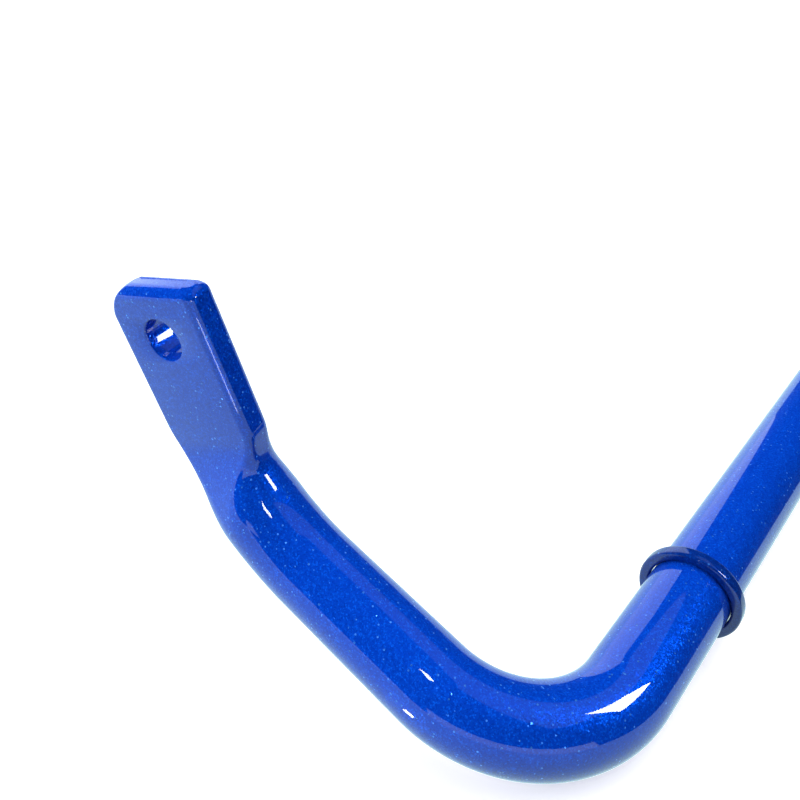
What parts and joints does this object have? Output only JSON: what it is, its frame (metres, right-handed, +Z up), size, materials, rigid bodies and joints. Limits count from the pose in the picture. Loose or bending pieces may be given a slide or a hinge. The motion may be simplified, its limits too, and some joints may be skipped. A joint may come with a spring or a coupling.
{
  "type": "sway bar",
  "caption": "One-piece U-shaped anti-roll bar with flattened drilled ends, stop collars, and lined split bushes in saddle clamps that slide and turn on it.",
  "frame": {"origin": "centre of the bounding box at its lowest level, the plane the saddle feet and bush bases stand on", "axes": "+X along the straight main bar from the left (pictured) end to the right end, +Y from the main bar towards the ends of the arms, +Z up"},
  "size_m": [1.0596, 0.176, 0.1148],
  "materials": {
    "bar_paint": "gloss metallic blue with fine flake under clear coat",
    "collar_paint": "gloss metallic blue, as the bar",
    "liner_plastic": "natural acetal, satin",
    "bush_rubber": "black moulded polyurethane, satin",
    "saddle_zinc": "pressed steel with bright zinc plating",
    "nipple_steel": "turned steel, yellow zinc plating"
  },
  "bodies": {
    "bar": {"bar": "bar_paint", "left_collar": "collar_paint", "right_collar": "collar_paint"},
    "left_sleeve": {"left_liner": "liner_plastic"},
    "left_bracket": {"left_bush": "bush_rubber", "left_saddle": "saddle_zinc", "left_grease_nipple": "nipple_steel"},
    "right_sleeve": {"right_liner": "liner_plastic"},
    "right_bracket": {"right_bush": "bush_rubber", "right_saddle": "saddle_zinc", "right_grease_nipple": "nipple_steel"}
  },
  "joints": [
    {"name": "left_bush_slide", "type": "slide", "parent": "bar", "child": "left_sleeve", "axis": [1, 0, 0], "range_m": [-0.2555, 0.12]},
    {"name": "left_bush_turn", "type": "hinge", "parent": "left_sleeve", "child": "left_bracket", "pos_m": [-0.165, -0.04501, 0.018], "axis": [1, 0, 0], "range_deg": [-30, 30]},
    {"name": "right_bush_slide", "type": "slide", "parent": "bar", "child": "right_sleeve", "axis": [1, 0, 0], "range_m": [-0.12, 0.2555]},
    {"name": "right_bush_turn", "type": "hinge", "parent": "right_sleeve", "child": "right_bracket", "pos_m": [0.165, -0.04501, 0.018], "axis": [1, 0, 0], "range_deg": [-30, 30]}
  ],
  "couplings": [
    {"joint": "right_bush_turn", "follows": "left_bush_turn", "ratio": 1}
  ]
}
